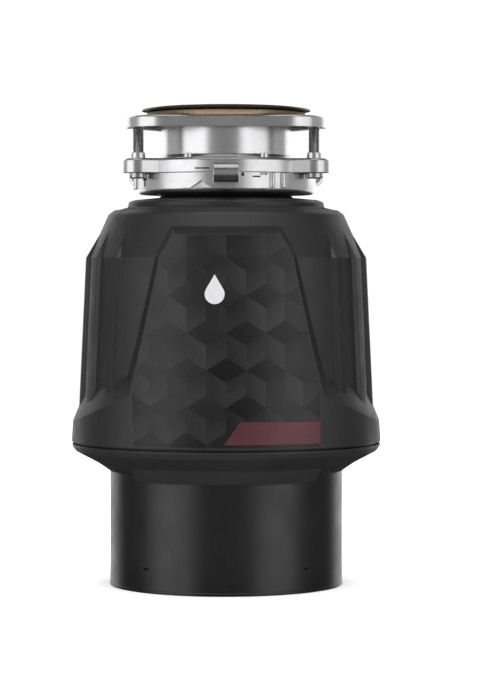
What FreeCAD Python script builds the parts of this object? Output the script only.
# Under-sink food waste disposer with a three-bolt quick-turn sink mount.
# Every piece is a separate solid in its own STEP file. Lengths are millimetres and angles degrees.
# +Z is up, the front faces -Y, and the origin is the centre of the foot rim, on the motor's axis.
# Angles around the axis count from the front, positive towards +X.
import FreeCAD, Part
import math
import os

from FreeCAD import Vector

ORIGIN = Vector(0, 0, 0)
UP = Vector(0, 0, 1)
BACKWARD = Vector(0, 1, 0)
RIGHT = Vector(1, 0, 0)
FULL_TURN = 360.0
GRIP = 1.0                   # overlap that joins two fused features, or clears a cut's end

# Motor shell and its foot
SHELL_R = 78.4
SHELL_WALL = 2.4
SHELL_TOP = 92.0
FOOT_LIP = 0.3
FOOT_HEIGHT = 1.7
LEDGE_R = 70.0
PLATE_LOW = 4.5
PLATE_THICK = 2.5
SHELL_MARK_ANGLE = 42.0
SHELL_MARK_Z = 15.7
CABLE_R = 11.1
CABLE_XY = (-46.0, 22.0)
BUTTON_XY = (20.0, -37.0)
BASE_SCREW_R = 62.0
TERMINAL_XY = (-38.0, -22.0)

# Lower cover
SEAM_GAP = 1.1
COVER_R = 104.4
COVER_LOW = 96.3
LOWER_EDGE_Z = 77.0
LOWER_CREASE_R = 86.6
LOWER_CREASE_Z = 82.4
TAB_LOW = 72.5
TAB_HALF_ANGLE = 47.0
SLOT_ANGLES = (59.0, 121.0, 239.0, 301.0)

# Upper cover
WALL = 3.0
PANEL_TOP_R = 95.8
PANEL_TOP_Z = 235.0
PANEL_BEVEL_R = 84.0
PANEL_BEVEL_Z = 240.0
RECESS_R = 97.0
RECESS_Z = 123.0
SHOULDER_R = 92.4
SHOULDER_Z = 220.0
CROWN_R = 79.4
CROWN_Z = 249.0
CROWN_TOP = 252.0
COLLAR_R = 66.3
COLLAR_TOP = 260.2
NECK_BORE_R = 46.2
PANEL_DEPTH = 78.0           # distance of the panel outline's reference plane from the axis
PANEL_FLARE = 0.39           # sideways slope of the panel's flanks, per mm of depth
PANEL_KNEE_Z = 131.8
PANEL_WIDE = 63.6            # half width below the knee
PANEL_NARROW = 46.6          # half width at the shoulder
PANEL_TIP_SLOPE = 0.61       # sideways slope of the panel's edge above the shoulder
LEDGE_APEX_Z = 363.9         # apex of the oblique cones that carry the side ledges
LEDGE_SLOPE = 0.45           # fall of a ledge towards the side
LEDGE_STEEPNESS = 2.0        # fall of a ledge outwards
RIB_ANGLES = (51.4, 66.8, 82.3, 97.7, 113.2, 128.6)
RIB_HEIGHT = 2.3
RIB_HALF = 3.0
RIB_FOOT_HALF = 7.2
RIB_ROOT = 2.0
RIB_LOW = 108.0
RIB_TIP_Z = 237.3
LABEL_THICK = 0.35
LABEL_MARGIN = 0.9
BADGE_LOW = 99.9
BADGE_HIGH = 114.5
BADGE_LEFT = -1.6
BADGE_SLANT = 10.4
BADGE_RIGHT = 61.0

# Motor
SHAFT_R = 8.0
RUNNING = 0.05               # radial clearance of every running fit
STATOR_R = 70.0
STATOR_BORE_R = 38.0
STATOR_LOW = 38.0
STATOR_HIGH = 84.0
STATOR_SLOTS = 24
AIR_GAP = 0.4
BELL_WALL = 3.0
BELL_R = 67.8
BELL_FLANGE_R = 75.6
BOLT_CIRCLE_R = 72.9
BOLT_R = 2.1
BOLT_ANGLES = (30.0, 150.0, 210.0, 330.0)
WRENCH_FLATS = 6.35

# Grinding chamber
CHAMBER_R = 73.5
CHAMBER_WALL = 3.0
DRAIN_FLOOR = 105.0
DRAIN_TOP = 148.0
GRIND_BORE_R = 70.2
GRIND_LOW = 148.3
GRIND_TOP = 170.0
GRIND_TEETH = 24
TURNTABLE_R = 69.6
TURNTABLE_Z = 148.0
TURNTABLE_THICK = 2.5
HOUSING_TOP = 182.0
HOPPER_SHOULDER_Z = 208.0
NECK_R = 40.0
NECK_WALL = 3.0
NECK_LOW = 246.0
LIP_R = 48.0
LIP_LOW = 266.0
LIP_HIGH = 269.0
FLANGE_R = 82.0
FLANGE_SCREW_CIRCLE = 79.5
FLANGE_ANGLES = (0.0, 60.0, 120.0, 240.0, 300.0)
LUG_PIVOT_R = 46.0
LUG_REACH = 21.5
RIVET_R = 4.0

# Drain outlet and dishwasher inlet, both at the back
OUTLET_Z = 127.0
OUTLET_R = 17.5
TUBE_R = 19.05
TUBE_WALL = 1.6
TUBE_BEND_R = 30.0
OUTLET_FACE = 96.0
OUTLET_EAR = 29.0
INLET_Z = 200.0
INLET_R = 11.1
INLET_BORE_R = 9.4
INLET_STEP = 98.5
INLET_END = 111.0

# Sink mount
SLEEVE_R = 43.7
SLEEVE_BORE_R = 41.9
SLEEVE_LOW = 275.6
LIP_OUTER_R = 57.15
LIP_TOP = 321.0
GASKET_R = 53.6
SCREW_CIRCLE_R = 67.3
LOBE_ANGLES = (60.0, 180.0, 300.0)
LUG_ANGLES = (0.0, 120.0, 240.0)
LOBE_FLARE = 13.0
BACKUP_CORNER_R = 27.0
BACKUP_CORNER_AT = 45.4        # distance of the corner arcs' centres from the axis
BACKUP_LOW = 306.3
BACKUP_TOP = 314.0
UPPER_R = 59.4
UPPER_LOBE_R = 10.3
UPPER_LOW = 276.2
UPPER_TOP = 285.8
PRESSED_WALL = 1.9
CUP_R = 60.4
CUP_WALL = 1.8
CUP_LOW = 262.6
CUP_TOP = 275.9
CUP_BORE_R = 46.5
TRACK_TOP = 273.6
NOTCH_ANGLE = -16.0
WRENCH_LUG_R = 66.0
WRENCH_LUG_Z = 275.4
WRENCH_TUBE_R = 6.3
WRENCH_BORE_R = 4.0
WRENCH_TUBE_LENGTH = 16.4
THREAD_R = 3.85
THREAD_DEPTH = 0.45
THREAD_PITCH = 1.41
SCREW_LOW = 276.0
SCREW_HIGH = 312.0


# ---------------------------------------------------------------- helpers
def unit(vector):
    return Vector(vector).normalize()


def profile(corners):
    """Closed face in the XZ plane from (radius, z) corners; a third number rounds the corner."""
    points = [Vector(corner[0], 0, corner[1]) for corner in corners]
    ends = []
    edges = []
    for index, corner in enumerate(corners):
        here = points[index]
        if len(corner) < 3:
            ends.append((here, here))
            continue
        to_last = unit(points[index - 1] - here)
        to_next = unit(points[(index + 1) % len(points)] - here)
        half = to_last.getAngle(to_next) / 2
        setback = corner[2] / math.tan(half)
        middle = here + unit(to_last + to_next) * (corner[2] / math.sin(half) - corner[2])
        start = here + to_last * setback
        stop = here + to_next * setback
        edges.append(Part.Arc(start, middle, stop).toShape())
        ends.append((start, stop))
    for index, (_, leave) in enumerate(ends):
        arrive = ends[(index + 1) % len(ends)][0]
        if (arrive - leave).Length > 1e-6:
            edges.append(Part.LineSegment(leave, arrive).toShape())
    return Part.Face(Part.Wire(Part.sortEdges(edges)[0]))


def lathe(corners, angle=FULL_TURN):
    """Solid of revolution about Z, starting at +X."""
    return profile(corners).revolve(ORIGIN, UP, angle)


def sector(corners, half_angle):
    """Part of a turned ring, centred on the front."""
    return turned(lathe(corners, 2 * half_angle), -90.0 - half_angle)


def cylinder(radius, low, high, x=0.0, y=0.0):
    return Part.makeCylinder(radius, high - low, Vector(x, y, low), UP)


def tube(inner, outer, low, high):
    return lathe([(inner, low), (outer, low), (outer, high), (inner, high)])


def rod_back(radius, start, stop, x=0.0, z=0.0):
    """Cylinder along +Y."""
    return Part.makeCylinder(radius, stop - start, Vector(x, start, z), BACKWARD)


def block(width, depth, low, high, x=0.0, y=0.0):
    corner = Vector(x - width / 2, y - depth / 2, low)
    return Part.makeBox(width, depth, high - low, corner)


def outward(solid):
    """The same solid with its faces pointing out."""
    if solid.Volume < 0:
        solid.reverse()
    return solid


def prism(points, low, high):
    """Upright prism on a polygon of (x, y) points."""
    corners = [Vector(x, y, low) for x, y in points]
    return outward(Part.Face(Part.makePolygon(corners + corners[:1])).extrude(UP * (high - low)))


def hexagon(flats, low, high, x=0.0, y=0.0):
    radius = flats / math.sqrt(3)
    points = [(x + radius * math.cos(math.radians(a)), y + radius * math.sin(math.radians(a)))
              for a in range(0, 360, 60)]
    return prism(points, low, high)


def polyhedron(points, faces):
    sides = [Part.Face(Part.makePolygon([points[i] for i in face] + [points[face[0]]]))
             for face in faces]
    return outward(Part.Solid(Part.Shell(sides)))


def turned(shape, angle):
    copy = shape.copy()
    copy.rotate(ORIGIN, UP, angle)
    return copy


def ring_of(shape, angles):
    return [turned(shape, angle) for angle in angles]


def even(count, start=0.0):
    return [start + FULL_TURN * index / count for index in range(count)]


def fused(*shapes):
    return shapes[0].multiFuse(list(shapes[1:])).removeSplitter()


def less(shape, *tools):
    return shape.cut(list(tools)).removeSplitter()


def save(name, *solids):
    """Write one node; several solids stay separate pieces of it."""
    pieces = [piece for solid in solids for piece in solid.Solids]
    shape = pieces[0] if len(pieces) == 1 else Part.makeCompound(pieces)
    shape.exportStep("parts/" + name + ".step")


# ---------------------------------------------------------------- lower housings
def motor_shell():
    foot_r = SHELL_R + FOOT_LIP
    bore = SHELL_R - SHELL_WALL
    shell = lathe([(bore, 0), (foot_r, 0, 0.5), (foot_r, FOOT_HEIGHT), (SHELL_R, FOOT_HEIGHT + FOOT_LIP),
                   (SHELL_R, SHELL_TOP), (bore, SHELL_TOP), (bore, PLATE_LOW), (LEDGE_R, PLATE_LOW),
                   (LEDGE_R, PLATE_LOW - 2.0), (bore, PLATE_LOW - 2.0)])
    mark = block(3.6, 4.0, SHELL_MARK_Z - 0.5, SHELL_MARK_Z + 0.5, y=-SHELL_R)
    slit = block(0.8, 1.6, 4.6, 10.2, y=-SHELL_R)
    marks = ring_of(mark, (SHELL_MARK_ANGLE, -SHELL_MARK_ANGLE, 180 - SHELL_MARK_ANGLE,
                           180 + SHELL_MARK_ANGLE))
    return less(shell, *marks, *ring_of(slit, (0.0, 180.0)))


def lower_cover():
    inner = SHELL_R + 0.4
    top = COVER_LOW - SEAM_GAP
    rim = COVER_R - 0.4
    body = lathe([(inner, LOWER_EDGE_Z), (LOWER_CREASE_R, LOWER_CREASE_Z), (rim - 2.4, 90.4, 3.0),
                  (rim, 93.6, 1.6), (rim, top, 0.4), (COVER_R - WALL - 0.4, top),
                  (COVER_R - WALL - 0.7, top + 5.5), (COVER_R - WALL - 3.0, top + 5.5),
                  (COVER_R - WALL - 2.8, 92.6), (LOWER_CREASE_R - 1.4, LOWER_CREASE_Z + 2.9),
                  (inner, LOWER_EDGE_Z + 4.6)])
    tab = sector([(inner, TAB_LOW), (inner + 1.6, TAB_LOW, 0.5), (LOWER_CREASE_R - 0.7, LOWER_CREASE_Z - 0.5),
                  (LOWER_CREASE_R - 2.2, LOWER_CREASE_Z + 1.2), (inner, LOWER_EDGE_Z + 3.0)], TAB_HALF_ANGLE)
    slot = block(10.0, 5.0, -0.45, 0.45)
    slot.rotate(ORIGIN, BACKWARD, 14.0)
    slot.translate(Vector(0, -inner - 3.4, LOWER_EDGE_Z + 1.4))
    return less(fused(body, *ring_of(tab, (0.0, 180.0))), *ring_of(slot, SLOT_ANGLES))


def base_plate():
    plate = cylinder(SHELL_R - SHELL_WALL - 0.3, PLATE_LOW, PLATE_LOW + PLATE_THICK)
    holes = [cylinder(8.5, 0, 20), cylinder(CABLE_R, 0, 20, *CABLE_XY), cylinder(5.2, 0, 20, *BUTTON_XY)]
    screw_hole = cylinder(2.3, 0, 20, y=-BASE_SCREW_R)
    embossing = lathe([(20.0, PLATE_LOW + PLATE_THICK - 0.2), (24.0, PLATE_LOW + PLATE_THICK - 0.2),
                       (23.0, PLATE_LOW + PLATE_THICK + 1.0), (21.0, PLATE_LOW + PLATE_THICK + 1.0)])
    return less(fused(plate, embossing), *holes, *ring_of(screw_hole, even(4, 45.0)))


def base_screws():
    head = lathe([(0, PLATE_LOW - 2.2), (3.4, PLATE_LOW - 2.2, 0.8), (3.8, PLATE_LOW), (2.0, PLATE_LOW),
                  (2.0, 20.0), (0, 20.0)])
    head = less(head, block(1.0, 8.0, PLATE_LOW - 3.2, PLATE_LOW - 1.2))
    head.translate(Vector(0, -BASE_SCREW_R, 0))
    return ring_of(head, even(4, 45.0))


def reset_button():
    cap = lathe([(0, 2.2), (4.6, 2.2, 1.0), (4.6, 7.2), (6.0, 7.2), (6.0, 8.4), (2.4, 8.4), (2.4, 15.0),
                 (0, 15.0)])
    cap.translate(Vector(*BUTTON_XY, 0))
    return cap


def overload_protector():
    case = block(26.0, 20.0, 10.5, 21.5, *BUTTON_XY)
    well = cylinder(6.6, 9.0, 13.2, *BUTTON_XY)
    bore = cylinder(2.6, 9.0, 19.5, *BUTTON_XY)
    blades = [block(6.3, 0.8, 14.0, 17.5, BUTTON_XY[0] + 15.5, BUTTON_XY[1] + side) for side in (-5.0, 5.0)]
    return fused(less(case, well, bore), *blades)


def terminal_block():
    body = block(24.0, 12.0, 11.0, 20.0, *TERMINAL_XY)
    holes = [cylinder(2.4, 9.0, 17.0, TERMINAL_XY[0] + step, TERMINAL_XY[1]) for step in (-7.5, 0.0, 7.5)]
    return less(body, *holes)


def ground_screw():
    screw = fused(hexagon(7.0, 14.5, 17.5), cylinder(2.0, 17.0, 24.0))
    screw.translate(Vector(-20.0, 48.0, 0))
    return screw


# ---------------------------------------------------------------- motor
def lower_end_bell():
    inner = BELL_R - BELL_WALL
    bell = lathe([(14.0, 10.0), (14.0, 22.0), (BELL_R, 22.0, 3.0), (BELL_R, 34.0), (BELL_FLANGE_R, 34.0),
                  (BELL_FLANGE_R, STATOR_LOW), (inner, STATOR_LOW), (inner, 25.0, 2.0), (17.0, 25.0),
                  (14.0, 28.0), (11.0, 28.0), (11.0, 10.0)])
    boss = cylinder(4.6, 8.0, 23.0, y=-BASE_SCREW_R)
    bell = fused(bell, *ring_of(boss, even(4, 45.0)))
    taps = ring_of(cylinder(2.0, 7.0, 20.0, y=-BASE_SCREW_R), even(4, 45.0))
    clearance = ring_of(cylinder(BOLT_R + 0.2, 30.0, 40.0, y=-BOLT_CIRCLE_R), BOLT_ANGLES)
    ground = cylinder(2.0, 17.0, 24.0, -20.0, 48.0)
    return less(bell, ground, *taps, *clearance)


def upper_end_bell():
    inner = BELL_R - BELL_WALL
    bell = lathe([(inner, STATOR_HIGH), (BELL_FLANGE_R, STATOR_HIGH), (BELL_FLANGE_R, 88.0), (BELL_R, 88.0),
                  (BELL_R, DRAIN_FLOOR, 2.0), (17.0, DRAIN_FLOOR), (17.0, 122.0), (12.0, 122.0),
                  (12.0, 99.5), (17.0, 99.5), (20.0, DRAIN_FLOOR - 4.0), (inner, DRAIN_FLOOR - 4.0, 2.0)])
    clearance = ring_of(cylinder(BOLT_R + 0.2, 83.0, 90.0, y=-BOLT_CIRCLE_R), BOLT_ANGLES)
    return less(bell, *clearance)


def through_bolts():
    bolt = less(fused(cylinder(2.9, 30.5, 34.0), cylinder(BOLT_R, 33.0, 100.0)),
                block(0.9, 8.0, 29.5, 31.6))
    bolt.translate(Vector(0, -BOLT_CIRCLE_R, 0))
    return ring_of(bolt, BOLT_ANGLES)


def stator_core():
    ring = tube(STATOR_BORE_R, STATOR_R, STATOR_LOW, STATOR_HIGH)
    slot = fused(block(2.4, 6.0, STATOR_LOW - GRIP, STATOR_HIGH + GRIP, y=-STATOR_BORE_R),
                 block(5.5, 13.0, STATOR_LOW - GRIP, STATOR_HIGH + GRIP, y=-STATOR_BORE_R - 9.0))
    return less(ring, *ring_of(slot, even(STATOR_SLOTS)))


def windings(low, high):
    return lathe([(42.0, low, 3.0), (60.0, low, 4.0), (60.0, high, 4.0), (42.0, high, 3.0)])


def shaft():
    stub = SHAFT_R - 2.0
    body = lathe([(0, 9.0), (SHAFT_R - 0.6, 9.0), (SHAFT_R, 9.6), (SHAFT_R, 29.8), (12.0, 29.8),
                  (12.0, 31.8), (SHAFT_R, 31.8), (SHAFT_R, TURNTABLE_Z - 5.0), (stub, TURNTABLE_Z - 5.0),
                  (stub, 160.0, 0.8), (0, 160.0)])
    return less(body, hexagon(WRENCH_FLATS, 8.0, 22.0))


def rotor_core():
    return tube(SHAFT_R, STATOR_BORE_R - AIR_GAP, STATOR_LOW, STATOR_HIGH)


def rotor_end_ring(low, high, fan_high):
    ring = tube(22.0, 35.0, low, high)
    blade = block(1.6, 10.0, min(low, fan_high), max(high, fan_high), y=-28.5)
    return fused(ring, *ring_of(blade, even(12)))


def slinger():
    return lathe([(SHAFT_R, 124.0), (21.0, 124.0), (21.0, 119.6), (22.6, 119.6), (22.6, 126.0, 1.5),
                  (12.0, 126.0), (12.0, 131.0, 1.0), (SHAFT_R, 131.0)])


def governor_sleeve():
    return lathe([(SHAFT_R + RUNNING, 92.4), (16.0, 92.4), (16.0, 94.4, 0.6), (10.8, 94.4),
                  (10.8, 98.2), (SHAFT_R + RUNNING, 98.2)])


def governor_spring():
    radius = 12.6
    wire = 0.7
    low = STATOR_HIGH + wire
    pitch = 1.75
    helix = Part.makeHelix(pitch, 92.4 - wire - low, radius)
    helix.translate(Vector(0, 0, low))
    section = Part.Wire(Part.makeCircle(wire, Vector(radius, 0, low), BACKWARD))
    return Part.Wire(helix.Edges).makePipeShell([section], True, True)


def start_switch():
    case = block(14.0, 12.0, 96.6, 101.0, x=30.0)
    arm = block(10.0, 4.0, 94.5, 97.0, x=19.0)
    return fused(case, arm)


# ---------------------------------------------------------------- grinding chamber
def outlet_ears(depth_low, depth_high, radius):
    """Round outlet pad with a bolt ear each side, between two depths along Y."""
    middle = rod_back(radius, depth_low, depth_high, z=OUTLET_Z)
    ears = [rod_back(8.0, depth_low, depth_high, x=side * OUTLET_EAR, z=OUTLET_Z) for side in (-1, 1)]
    web = Part.makeBox(2 * OUTLET_EAR, depth_high - depth_low, 16.0,
                       Vector(-OUTLET_EAR, depth_low, OUTLET_Z - 8.0))
    return fused(middle, web, *ears)


def outlet_screw_holes(radius, low, high):
    return [rod_back(radius, low, high, x=side * OUTLET_EAR, z=OUTLET_Z) for side in (-1, 1)]


def drain_chamber():
    outer = CHAMBER_R + CHAMBER_WALL
    cup = lathe([(17.2, DRAIN_FLOOR), (outer, DRAIN_FLOOR, 1.0), (outer, DRAIN_TOP - 6.0),
                 (FLANGE_R, DRAIN_TOP - 3.5), (FLANGE_R, DRAIN_TOP), (CHAMBER_R, DRAIN_TOP),
                 (CHAMBER_R, DRAIN_FLOOR + 3.5, 4.0), (20.4, DRAIN_FLOOR + 3.5, 1.5), (20.4, 118.4),
                 (17.2, 118.4)])
    boss = cylinder(3.4, 94.0, DRAIN_FLOOR + 1.0, y=-BOLT_CIRCLE_R)
    body = fused(cup, *ring_of(boss, BOLT_ANGLES))
    bore = rod_back(OUTLET_R, CHAMBER_R - 8.0, OUTLET_FACE, z=OUTLET_Z)
    taps = ring_of(cylinder(BOLT_R, 93.0, 100.0, y=-BOLT_CIRCLE_R), BOLT_ANGLES)
    flange_holes = ring_of(cylinder(1.9, 140.0, 150.0, y=-FLANGE_SCREW_CIRCLE), FLANGE_ANGLES)
    return less(body, bore, *taps, *flange_holes)


def drain_outlet():
    """Outlet spout and its pad, bonded on the drain chamber's wall."""
    spout = rod_back(OUTLET_R + 2.3, CHAMBER_R - 6.0, OUTLET_FACE, z=OUTLET_Z)
    pad = outlet_ears(OUTLET_FACE - 6.0, OUTLET_FACE, 24.0)
    bore = rod_back(OUTLET_R, CHAMBER_R - 8.0, OUTLET_FACE + 1.0, z=OUTLET_Z)
    outer = CHAMBER_R + CHAMBER_WALL
    chamber = lathe([(0, DRAIN_FLOOR), (outer, DRAIN_FLOOR), (outer, DRAIN_TOP - 6.0), (FLANGE_R, DRAIN_TOP - 3.5),
                     (FLANGE_R, GRIND_TOP), (0, GRIND_TOP)])
    return less(fused(spout, pad), bore, chamber, *outlet_screw_holes(3.1, 88.0, OUTLET_FACE + 1.0))


def discharge_gasket():
    ring = rod_back(24.0, OUTLET_FACE, OUTLET_FACE + 2.5, z=OUTLET_Z)
    return less(ring, rod_back(OUTLET_R - 0.1, OUTLET_FACE - 1.0, OUTLET_FACE + 4.0, z=OUTLET_Z))


def bend(radius, start, straight, drop):
    """Pipe from the outlet: a straight run back, a quarter bend and a run down."""
    first = Vector(0, start, OUTLET_Z)
    corner = first + BACKWARD * straight
    centre = corner - UP * TUBE_BEND_R
    middle = centre + (BACKWARD + UP) * (TUBE_BEND_R / math.sqrt(2))
    turn_end = centre + BACKWARD * TUBE_BEND_R
    last = turn_end - UP * drop
    path = Part.Wire([Part.LineSegment(first, corner).toShape(),
                      Part.Arc(corner, middle, turn_end).toShape(),
                      Part.LineSegment(turn_end, last).toShape()])
    section = Part.Wire(Part.makeCircle(radius, first, BACKWARD))
    return path.makePipeShell([section], True, True)


def discharge_elbow():
    start = OUTLET_FACE + 2.5
    pipe = bend(TUBE_R, start, 12.0, 26.0)
    lip = rod_back(23.2, start, start + 1.8, z=OUTLET_Z)
    return less(fused(pipe, lip), bend(TUBE_R - TUBE_WALL, start - 1.0, 13.0, 27.0))


def discharge_flange():
    low = OUTLET_FACE + 4.3
    return less(outlet_ears(low, low + 2.5, 25.4), rod_back(TUBE_R + 0.3, low - 1, low + 4, z=OUTLET_Z),
                *outlet_screw_holes(3.3, low - 1, low + 4))


def discharge_screws():
    low = OUTLET_FACE + 6.8
    screws = []
    for side in (-1, 1):
        shank = rod_back(3.0, OUTLET_FACE - 5.0, low + 1.0, x=side * OUTLET_EAR, z=OUTLET_Z)
        head = hexagon(11.0, 0, 4.2)
        head.rotate(ORIGIN, RIGHT, -90.0)
        head.translate(Vector(side * OUTLET_EAR, low, OUTLET_Z))
        screws.append(fused(shank, head))
    return screws


def grind_ring():
    ring = tube(GRIND_BORE_R, CHAMBER_R - 0.3, GRIND_LOW, GRIND_TOP)
    tooth_gap = block(4.0, 3.4, GRIND_LOW - GRIP, GRIND_TOP - 4.0, y=-GRIND_BORE_R)
    return less(ring, *ring_of(tooth_gap, even(GRIND_TEETH)))


def turntable():
    top = TURNTABLE_Z + TURNTABLE_THICK
    plate = lathe([(SHAFT_R - 2.0, TURNTABLE_Z - 4.9), (14.0, TURNTABLE_Z - 4.9), (14.0, TURNTABLE_Z, 1.0),
                   (TURNTABLE_R, TURNTABLE_Z), (TURNTABLE_R, top, 0.8), (SHAFT_R - 2.0, top)])
    drain_hole = cylinder(3.2, TURNTABLE_Z - GRIP, top + GRIP, y=-57.0)
    rivet_hole = cylinder(RIVET_R, TURNTABLE_Z - GRIP, top + GRIP, y=-LUG_PIVOT_R)
    return less(plate, *ring_of(drain_hole, even(6, 30.0)), *ring_of(rivet_hole, (90.0, 270.0)))


def turntable_nut():
    low = TURNTABLE_Z + TURNTABLE_THICK
    return less(hexagon(17.0, low, low + 7.0), cylinder(SHAFT_R - 2.0, low - 1, low + 9))


def impeller_rivets():
    low = TURNTABLE_Z
    top = low + TURNTABLE_THICK + 8.8
    rivet = lathe([(0, low - 2.0), (6.0, low - 2.0, 1.0), (6.0, low), (RIVET_R, low), (RIVET_R, top),
                   (6.6, top), (6.6, top + 2.2, 1.0), (0, top + 2.2)])
    rivet.translate(Vector(0, -LUG_PIVOT_R, 0))
    return ring_of(rivet, (90.0, 270.0))


def impeller():
    """Swivelling hammer, its pivot at the front position and its nose towards the grind ring."""
    low = TURNTABLE_Z + TURNTABLE_THICK + 0.5
    tip = -LUG_REACH
    arm = prism([(-6.6, 0.0), (6.6, 0.0), (6.0, tip + 3.4), (2.6, tip + 0.4), (-2.6, tip + 0.4),
                 (-6.0, tip + 3.4)], low, low + 4.6)
    nose = prism([(7.4, tip + 7.0), (7.0, tip + 3.0), (3.0, tip), (-3.0, tip), (-7.0, tip + 3.0),
                  (-7.4, tip + 7.0)], low + 4.0, low + 12.0)
    eye = cylinder(8.0, low, low + 8.0)
    hammer = less(fused(arm, nose, eye), cylinder(RIVET_R + RUNNING, low - GRIP, low + 12.0))
    hammer.translate(Vector(0, -LUG_PIVOT_R, 0))
    return hammer


def grind_housing():
    """Cylindrical lower container around the grind ring, flanged to the drain chamber."""
    outer = CHAMBER_R + CHAMBER_WALL
    wall = lathe([(CHAMBER_R, DRAIN_TOP), (FLANGE_R, DRAIN_TOP), (FLANGE_R, DRAIN_TOP + 3.5),
                  (outer, DRAIN_TOP + 3.5), (outer, HOUSING_TOP), (CHAMBER_R, HOUSING_TOP)])
    holes = ring_of(cylinder(1.9, 140.0, 155.0, y=-FLANGE_SCREW_CIRCLE), FLANGE_ANGLES)
    return less(wall, *holes)


def hopper():
    """Shoulder of the container, with the dishwasher spigot at the back."""
    outer = CHAMBER_R + CHAMBER_WALL
    neck_outer = NECK_R + NECK_WALL
    wall = lathe([(CHAMBER_R, HOUSING_TOP), (outer, HOUSING_TOP), (outer, HOPPER_SHOULDER_Z, 14.0),
                  (neck_outer, NECK_LOW - 2.0, 4.0), (neck_outer, NECK_LOW), (NECK_R, NECK_LOW),
                  (NECK_R, NECK_LOW - 3.4, 3.0), (CHAMBER_R, HOPPER_SHOULDER_Z - 1.6, 12.0)])
    root = rod_back(INLET_R + 1.4, CHAMBER_R + 0.5, INLET_STEP, z=INLET_Z)
    spigot = rod_back(INLET_R, CHAMBER_R + 0.5, INLET_END, z=INLET_Z)
    bore = rod_back(INLET_BORE_R, CHAMBER_R - 8.0, INLET_END + 1.0, z=INLET_Z)
    return less(fused(wall, root, spigot), bore)


def hopper_neck():
    """Neck ring with the lip that the cushion mount grips."""
    neck_outer = NECK_R + NECK_WALL
    return lathe([(NECK_R, NECK_LOW), (neck_outer, NECK_LOW), (neck_outer, LIP_LOW), (LIP_R, LIP_LOW),
                  (LIP_R, LIP_HIGH), (NECK_R, LIP_HIGH)])


def inlet_knockout():
    return rod_back(INLET_BORE_R, CHAMBER_R + 2.0, CHAMBER_R + 4.0, z=INLET_Z)


def flange_screws():
    low = DRAIN_TOP - 6.4
    top = DRAIN_TOP + 3.5
    screw = lathe([(0, low), (1.8, low), (1.8, top), (2.7, top), (2.7, top + 2.2, 0.8), (0, top + 2.2)])
    screw.translate(Vector(0, -FLANGE_SCREW_CIRCLE, 0))
    return ring_of(screw, FLANGE_ANGLES)


def sound_insulation():
    foam = lathe([(83.4, 112.0), (93.6, 112.0), (88.6, 217.0), (77.0, 242.5, 6.0), (60.0, 246.5),
                  (49.0, 246.0), (77.2, 213.0), (77.2, 157.0), (83.4, 157.0)])
    outlet = fused(rod_back(27.5, 60.0, 110.0, z=OUTLET_Z),
                   Part.makeBox(2 * OUTLET_EAR + 20.0, 50.0, 20.0,
                                Vector(-OUTLET_EAR - 10.0, 60.0, OUTLET_Z - 10.0)))
    return less(foam, outlet, rod_back(INLET_R + 2.4, 50.0, 110.0, z=INLET_Z))


# ---------------------------------------------------------------- upper cover
def recess_r(z):
    """Radius of the recessed side wall at a height."""
    return RECESS_R + (SHOULDER_R - RECESS_R) * (z - RECESS_Z) / (SHOULDER_Z - RECESS_Z)


def panel_r(z):
    """Radius of the raised panels and of the band below the ledges."""
    return COVER_R + (PANEL_TOP_R - COVER_R) * (z - COVER_LOW) / (PANEL_TOP_Z - COVER_LOW)


def ledge_zone(inset):
    """Space below the side ledges: z < apex - slope * |x| - steepness * radius."""
    apex = LEDGE_APEX_Z - inset * math.hypot(1, LEDGE_STEEPNESS + LEDGE_SLOPE)
    reach = 250.0
    centre = Vector(0, 0, apex - LEDGE_STEEPNESS * reach)
    cones = []
    for side in (-1, 1):
        end = Vector(reach * side, 0, centre.z - LEDGE_SLOPE * reach)
        ellipse = Part.Ellipse(end, Vector(0, reach, centre.z), centre)
        cones.append(Part.makeLoft([Part.Wire(ellipse.toShape()), Part.Vertex(0, 0, apex)], True, True))
    return cones[0].common(cones[1])


def panel_outline(inset, depth):
    """Corners of the front panel's outline in the plane y = -depth."""
    shift = PANEL_FLARE * (PANEL_DEPTH - depth) - inset * math.hypot(1, PANEL_FLARE)
    knee_lift = inset * (PANEL_WIDE - PANEL_NARROW) / (SHOULDER_Z - PANEL_KNEE_Z)
    top_half = PANEL_NARROW - PANEL_TIP_SLOPE * (COLLAR_TOP - SHOULDER_Z)
    half = [(PANEL_WIDE, COVER_LOW - 6.0), (PANEL_WIDE, PANEL_KNEE_Z - knee_lift),
            (PANEL_NARROW, SHOULDER_Z - knee_lift), (top_half, COLLAR_TOP)]
    right = [Vector(x + shift, -depth, z) for x, z in half]
    left = [Vector(-point.x, point.y, point.z) for point in reversed(right)]
    return right + left


def panel_prism(inset):
    """Flared prism on the panel's outline, reaching from inside the cover to outside it."""
    near = panel_outline(inset, 112.0)
    far = panel_outline(inset, 50.0)
    count = len(near)
    sides = [(i, (i + 1) % count, count + (i + 1) % count, count + i) for i in range(count)]
    ends = [tuple(reversed(range(count))), tuple(range(count, 2 * count))]
    return polyhedron(near + far, ends + sides)


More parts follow.
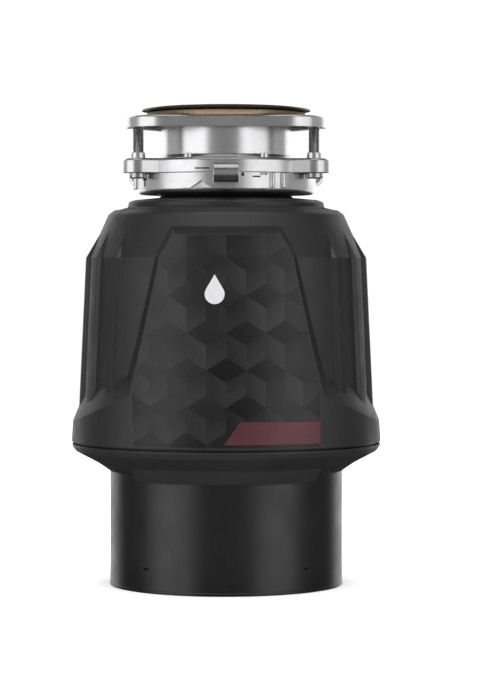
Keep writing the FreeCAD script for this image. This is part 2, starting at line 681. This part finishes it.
def rib():
    """Trapezoid rib on the recessed side wall, with a pointed tip on the shoulder."""
    points = []
    for z in (RIB_LOW, SHOULDER_Z):
        outer = recess_r(z) + RIB_HEIGHT
        inner = recess_r(z) - RIB_ROOT
        points += [Vector(-RIB_HALF, -outer, z), Vector(RIB_HALF, -outer, z),
                   Vector(RIB_FOOT_HALF, -inner, z), Vector(-RIB_FOOT_HALF, -inner, z)]
    tip_r = SHOULDER_R + (CROWN_R - SHOULDER_R) * (RIB_TIP_Z - SHOULDER_Z) / (CROWN_Z - SHOULDER_Z)
    points += [Vector(0, -tip_r, RIB_TIP_Z), Vector(0, -tip_r + RIB_ROOT, RIB_TIP_Z)]
    return polyhedron(points, [(0, 3, 2, 1), (0, 1, 5, 4), (1, 2, 6, 5), (2, 3, 7, 6), (3, 0, 4, 7),
                               (4, 5, 8), (5, 6, 9), (5, 9, 8), (6, 7, 9), (7, 4, 9), (4, 8, 9)])


def cover_form(inset):
    """The cover's outer form, or the same form drawn in by a wall thickness."""
    low = COVER_LOW - (GRIP if inset else 0)
    edge = [(COVER_R - inset, low, 0.8)] if not inset else [(COVER_R - inset, low)]
    recess = lathe([(0, low), (recess_r(low) - inset, low), (SHOULDER_R - inset, SHOULDER_Z - inset / 2),
                    (CROWN_R - inset, CROWN_Z - inset / 2, 3.0), (CROWN_R - inset - 4.0, CROWN_TOP - inset),
                    (0, CROWN_TOP - inset)])
    full = lathe([(0, low)] + edge + [(PANEL_TOP_R - inset, PANEL_TOP_Z - inset / 2),
                                      (PANEL_BEVEL_R - inset, PANEL_BEVEL_Z - inset / 2),
                                      (0, PANEL_BEVEL_Z - inset / 2)])
    if not inset:
        angles = RIB_ANGLES + tuple(-angle for angle in RIB_ANGLES)
        recess = fused(recess, *ring_of(rib(), angles))
    front = panel_prism(inset)
    raised = [full.common(zone) for zone in (front, turned(front, 180.0), ledge_zone(inset))]
    return fused(recess, *raised)


def collar():
    return lathe([(NECK_BORE_R, CROWN_TOP - WALL), (COLLAR_R + 6.0, CROWN_TOP - WALL),
                  (COLLAR_R + 6.0, CROWN_TOP + 0.4),
                  (COLLAR_R + 1.2, CROWN_TOP + 1.6), (COLLAR_R, CROWN_TOP + 2.0), (COLLAR_R - 0.6, 257.6, 2.0),
                  (COLLAR_R - 4.4, COLLAR_TOP - 1.4, 1.0), (NECK_BORE_R + 1.0, COLLAR_TOP),
                  (NECK_BORE_R, COLLAR_TOP - 0.6)])


def upper_cover():
    solid = fused(cover_form(0.0), collar())
    neck = cylinder(NECK_BORE_R, CROWN_TOP - 20.0, COLLAR_TOP + GRIP)
    collar_hollow = tube(NECK_BORE_R - GRIP, COLLAR_R - WALL, CROWN_TOP - WALL - GRIP, COLLAR_TOP - WALL - 1.4)
    ears = [rod_back(10.5, 80.0, 112.0, x=side * OUTLET_EAR, z=OUTLET_Z) for side in (-1, 1)]
    outlet_window = fused(outlet_ears(80.0, 112.0, 29.5), *ears)
    inlet = rod_back(INLET_R + 2.6, 80.0, 112.0, z=INLET_Z)
    return less(solid, cover_form(WALL), neck, collar_hollow, outlet_window, inlet)


def label_skin(lift, thick, low, high):
    """Thin curved sheet on the front panel's cone."""
    return lathe([(panel_r(low) + lift, low), (panel_r(low) + lift + thick, low),
                  (panel_r(high) + lift + thick, high), (panel_r(high) + lift, high)])


def front_label():
    skin = label_skin(0.0, LABEL_THICK, COVER_LOW + 2.0, PANEL_TOP_Z - 1.0)
    return skin.common(panel_prism(LABEL_MARGIN))


def badge():
    """Raised foil badge low on the right of the label: a strip with one slanted end."""
    skin = label_skin(LABEL_THICK, 0.3, BADGE_LOW, BADGE_HIGH)
    outline = [Vector(BADGE_LEFT, -60.0, BADGE_LOW), Vector(BADGE_LEFT + BADGE_SLANT, -60.0, BADGE_HIGH),
               Vector(BADGE_RIGHT, -60.0, BADGE_HIGH), Vector(BADGE_RIGHT, -60.0, BADGE_LOW)]
    window = Part.Face(Part.makePolygon(outline + outline[:1])).extrude(Vector(0, -60.0, 0))
    return skin.common(window)


# ---------------------------------------------------------------- sink mount
def sink_flange():
    return lathe([(SLEEVE_BORE_R, SLEEVE_LOW), (SLEEVE_R, SLEEVE_LOW, 0.4), (SLEEVE_R, 282.3),
                  (SLEEVE_R - 0.7, 282.3), (SLEEVE_R - 0.7, 284.1), (SLEEVE_R, 284.1), (SLEEVE_R, 316.4, 1.2),
                  (SLEEVE_R + 2.2, 317.6, 1.5), (LIP_OUTER_R - 0.4, 318.7, 0.2), (LIP_OUTER_R, 319.3, 0.3),
                  (LIP_OUTER_R - 0.6, 319.9, 0.3), (50.0, LIP_TOP - 0.2, 12.0), (45.0, LIP_TOP, 2.0),
                  (SLEEVE_BORE_R + 0.6, 319.0, 2.0), (SLEEVE_BORE_R, 315.0, 6.0)])


def fibre_gasket():
    low = BACKUP_TOP + 0.1
    inner = SLEEVE_R + 2.6
    return lathe([(inner, low), (GASKET_R, low, 1.2), (GASKET_R, low + 3.4, 1.2), (inner, low + 3.4)])


def lobed(disc_r, lobe_r, low, high):
    """Round plate with three lobes that flare into the disc."""
    flare = math.radians(90.0 - LOBE_FLARE)
    x, y = lobe_r * math.sin(flare), -SCREW_CIRCLE_R - lobe_r * math.cos(flare)
    reach = 26.0
    wide, deep = x + reach * math.cos(flare), y + reach * math.sin(flare)
    lobe = fused(cylinder(lobe_r, low, high, y=-SCREW_CIRCLE_R),
                 prism([(-x, y), (x, y), (wide, deep), (-wide, deep)], low, high))
    return fused(cylinder(disc_r, low, high), *ring_of(lobe, LOBE_ANGLES))


def top_rounded(plate, radius, high):
    """Round the outer edges at the top of a plate."""
    edges = [edge for edge in plate.Edges
             if all(abs(vertex.Z - high) < 1e-6 for vertex in edge.Vertexes)
             and abs(edge.BoundBox.ZMax - high) < 1e-6]
    return plate.makeFillet(radius, edges)


def rounded_triangle(radius, low, high):
    """Plate with a straight side at the front and a round corner at each mounting screw."""
    def corner(angle, turn):
        centre, out = math.radians(angle), math.radians(angle + turn)
        return Vector(BACKUP_CORNER_AT * math.sin(centre) + radius * math.sin(out),
                      -BACKUP_CORNER_AT * math.cos(centre) - radius * math.cos(out), low)

    edges = []
    for angle in LOBE_ANGLES:
        edges.append(Part.Arc(corner(angle, -60), corner(angle, 0), corner(angle, 60)).toShape())
        edges.append(Part.LineSegment(corner(angle, 60), corner(angle + 120, -60)).toShape())
    return Part.Face(Part.Wire(edges)).extrude(Vector(0, 0, high - low))


def backup_flange():
    outer = top_rounded(rounded_triangle(BACKUP_CORNER_R, BACKUP_LOW, BACKUP_TOP), 1.7, BACKUP_TOP)
    hollow = rounded_triangle(BACKUP_CORNER_R - PRESSED_WALL, BACKUP_LOW - GRIP, BACKUP_TOP - PRESSED_WALL)
    screw_room = cylinder(THREAD_R + 0.25, BACKUP_LOW - GRIP, BACKUP_TOP - PRESSED_WALL, y=-SCREW_CIRCLE_R)
    hollow = fused(hollow, *ring_of(screw_room, LOBE_ANGLES))
    collar_ring = tube(SLEEVE_R + 0.4, SLEEVE_R + 2.2, BACKUP_TOP - 4.0, BACKUP_TOP - 0.5)
    return less(fused(less(outer, hollow), collar_ring), cylinder(SLEEVE_R + 0.4, 300.0, 320.0))


def mounting_screws():
    corners = [(0, SCREW_LOW - 3.6), (5.8, SCREW_LOW - 3.6, 1.0), (5.8, SCREW_LOW - 0.1),
               (THREAD_R - THREAD_DEPTH, SCREW_LOW - 0.1)]
    z = SCREW_LOW + 0.2
    while z + THREAD_PITCH < SCREW_HIGH - 1.0:
        corners += [(THREAD_R - THREAD_DEPTH, z), (THREAD_R, z + THREAD_PITCH / 2)]
        z += THREAD_PITCH
    corners += [(THREAD_R - THREAD_DEPTH, z), (THREAD_R - 1.2, SCREW_HIGH), (0, SCREW_HIGH)]
    screw = less(lathe(corners), block(1.6, 14.0, SCREW_LOW - 4.6, SCREW_LOW - 1.8))
    screw.translate(Vector(0, -SCREW_CIRCLE_R, 0))
    return ring_of(screw, LOBE_ANGLES)


def upper_mounting_ring():
    outer = top_rounded(lobed(UPPER_R, UPPER_LOBE_R, UPPER_LOW, UPPER_TOP), 2.2, UPPER_TOP)
    hollow = lobed(UPPER_R - PRESSED_WALL, UPPER_LOBE_R - PRESSED_WALL, UPPER_LOW - GRIP,
                   UPPER_TOP - PRESSED_WALL)
    rim = lathe([(SLEEVE_R + 0.9, UPPER_TOP - 2.0), (48.6, UPPER_TOP - 2.0), (48.6, UPPER_TOP + 0.6, 0.6),
                 (46.9, UPPER_TOP + 2.9, 0.8), (SLEEVE_R + 0.9, UPPER_TOP + 2.9)])
    boss = cylinder(4.75, UPPER_LOW + 0.4, UPPER_TOP + 3.8, y=-SCREW_CIRCLE_R)
    post = fused(cylinder(2.6, UPPER_TOP - 1.0, UPPER_TOP + 3.2, y=-50.2))
    skirt = tube(53.2, 55.0, 268.0, UPPER_TOP - 1.0)
    track = sector([(54.0, TRACK_TOP - 1.7), (58.2, TRACK_TOP - 1.7), (58.2, TRACK_TOP), (54.0, TRACK_TOP)], 22.0)
    tracks = ring_of(turned(track, 10.0), LUG_ANGLES)
    body = fused(less(outer, hollow), rim, skirt, *tracks, *ring_of(boss, LOBE_ANGLES),
                 *ring_of(post, (30.0, 150.0, 210.0, 330.0)))
    tapped = ring_of(cylinder(THREAD_R + 0.1, 270.0, 300.0, y=-SCREW_CIRCLE_R), LOBE_ANGLES)
    return less(body, cylinder(SLEEVE_R + 0.9, 260.0, 300.0), *tapped)


def snap_ring():
    ring = tube(SLEEVE_R - 0.6, SLEEVE_R + 2.6, 282.4, 283.8)
    return less(ring, block(5.0, 12.0, 280.0, 286.0, y=SLEEVE_R))


def wrench_lug():
    """Rolled lug whose hole runs along the rim, with the web that ties it to the cup's wall."""
    half = WRENCH_TUBE_LENGTH / 2
    start = Vector(-half, -WRENCH_LUG_R, WRENCH_LUG_Z)
    roll = Part.makeCylinder(WRENCH_TUBE_R, WRENCH_TUBE_LENGTH, start, RIGHT)
    web = Part.makeBox(WRENCH_TUBE_LENGTH, 6.0, 5.4, Vector(-half, -CUP_R - 4.6, CUP_TOP - 6.6))
    bore = Part.makeCylinder(WRENCH_BORE_R, WRENCH_TUBE_LENGTH + 2 * GRIP, start - RIGHT * GRIP, RIGHT)
    return fused(roll, web), bore


def lower_mounting_ring():
    cup = lathe([(CUP_BORE_R, CUP_LOW), (CUP_R, CUP_LOW, 3.6), (CUP_R, CUP_TOP), (CUP_R - CUP_WALL, CUP_TOP),
                 (CUP_R - CUP_WALL, CUP_LOW + 1.7, 1.8), (CUP_BORE_R, CUP_LOW + 1.7)])
    lug, bore = wrench_lug()
    tab = sector([(55.6, TRACK_TOP + 0.4), (CUP_R - 0.9, TRACK_TOP + 0.4), (CUP_R - 0.9, CUP_TOP),
                  (55.6, CUP_TOP)], 7.0)
    notch = prism([(-7.2, 0.0), (7.2, 0.0), (0.5, 4.8)], CUP_R - 1.5, CUP_R + GRIP)
    notch.rotate(ORIGIN, RIGHT, 90.0)
    notch.translate(UP * (CUP_LOW + 3.0))
    pocket = block(5.2, 3.0, 0, 1.0)
    pocket.translate(Vector(0, -CUP_R, CUP_TOP - 1.6))
    fold = cylinder(1.9, CUP_LOW + 3.4, CUP_TOP - 0.6, y=-CUP_R - 0.3)
    folds = [turned(fold, angle) for centre in LUG_ANGLES for angle in (centre + 30.0, centre + 38.0)]
    body = fused(cup, *ring_of(lug, LUG_ANGLES), *ring_of(tab, LUG_ANGLES), *folds)
    return less(body, turned(notch, NOTCH_ANGLE), *ring_of(bore, LUG_ANGLES), *ring_of(pocket, (24.0, 144.0, 264.0)))


def cushion_mount():
    ribs = [(45.0, CUP_LOW + 1.9), (43.9, CUP_LOW + 0.9), (45.0, CUP_LOW + 0.1), (45.0, CUP_LOW - 0.5),
            (43.9, CUP_LOW - 1.1), (45.0, CUP_LOW - 1.8), (45.0, COLLAR_TOP + 0.1)]
    return lathe([(NECK_R + NECK_WALL + 0.2, COLLAR_TOP + 0.1), (NECK_R + NECK_WALL + 0.2, LIP_LOW),
                  (LIP_R + 0.1, LIP_LOW), (LIP_R + 0.1, LIP_HIGH), (NECK_R, LIP_HIGH), (NECK_R, SLEEVE_LOW - 0.1),
                  (50.5, SLEEVE_LOW - 0.1, 1.2), (52.2, 271.0, 1.0), (52.2, CUP_LOW + 1.9)]
                 + ribs)


def sink_baffle():
    disc = lathe([(41.5, 277.2), (41.5, SLEEVE_LOW), (39.6, SLEEVE_LOW), (39.6, 267.0), (37.8, 266.4),
                  (17.0, 261.0), (17.0, 262.6), (36.6, 268.6), (37.6, 277.2)])
    slit = block(1.3, 20.0, 255.0, 280.0, y=-25.0)
    return less(disc, *ring_of(slit, even(6, 30.0)))


def main():
    os.makedirs("parts", exist_ok=True)
    save("motor_shell", motor_shell())
    save("lower_cover", lower_cover())
    save("upper_cover", upper_cover())
    save("front_label", front_label())
    save("badge", badge())
    save("base_plate", base_plate())
    save("base_screws", *base_screws())
    save("reset_button", reset_button())
    save("overload_protector", overload_protector())
    save("terminal_block", terminal_block())
    save("ground_screw", ground_screw())
    save("lower_end_bell", lower_end_bell())
    save("upper_end_bell", upper_end_bell())
    save("through_bolts", *through_bolts())
    save("stator_core", stator_core())
    save("lower_windings", windings(STATOR_LOW - 11.5, STATOR_LOW - 0.2))
    save("upper_windings", windings(STATOR_HIGH + 0.2, STATOR_HIGH + 12.0))
    save("lower_bearing", tube(SHAFT_R + RUNNING, 11.0, 12.0, 28.0))
    save("upper_bearing", tube(SHAFT_R + RUNNING, 12.0, 100.0, 117.0))
    save("thrust_washer", tube(SHAFT_R + 0.4, 12.8, 28.1, 29.7))
    save("shaft_seal", tube(SHAFT_R + RUNNING, 12.0, 117.0, 121.5))
    save("shaft", shaft())
    save("rotor_core", rotor_core())
    save("rotor_end_rings", rotor_end_ring(STATOR_LOW - 4.0, STATOR_LOW, STATOR_LOW - 9.0),
         rotor_end_ring(STATOR_HIGH, STATOR_HIGH + 4.0, STATOR_HIGH + 7.0))
    save("governor_sleeve", governor_sleeve())
    save("governor_spring", governor_spring())
    save("start_switch", start_switch())
    save("slinger", slinger())
    save("drain_chamber", drain_chamber())
    save("drain_outlet", drain_outlet())
    save("discharge_gasket", discharge_gasket())
    save("discharge_elbow", discharge_elbow())
    save("discharge_flange", discharge_flange())
    save("discharge_screws", *discharge_screws())
    save("grind_ring", grind_ring())
    save("turntable", turntable())
    save("turntable_nut", turntable_nut())
    save("impeller_rivets", *impeller_rivets())
    save("impeller_right", turned(impeller(), 90.0))
    save("impeller_left", turned(impeller(), 270.0))
    save("grind_housing", grind_housing())
    save("hopper", hopper())
    save("hopper_neck", hopper_neck())
    save("inlet_knockout", inlet_knockout())
    save("flange_screws", *flange_screws())
    save("sound_insulation", sound_insulation())
    save("sink_flange", sink_flange())
    save("fibre_gasket", fibre_gasket())
    save("backup_flange", backup_flange())
    save("mounting_screws", *mounting_screws())
    save("upper_mounting_ring", upper_mounting_ring())
    save("snap_ring", snap_ring())
    save("lower_mounting_ring", lower_mounting_ring())
    save("cushion_mount", cushion_mount())
    save("sink_baffle", sink_baffle())


if __name__ == "__main__":
    main()
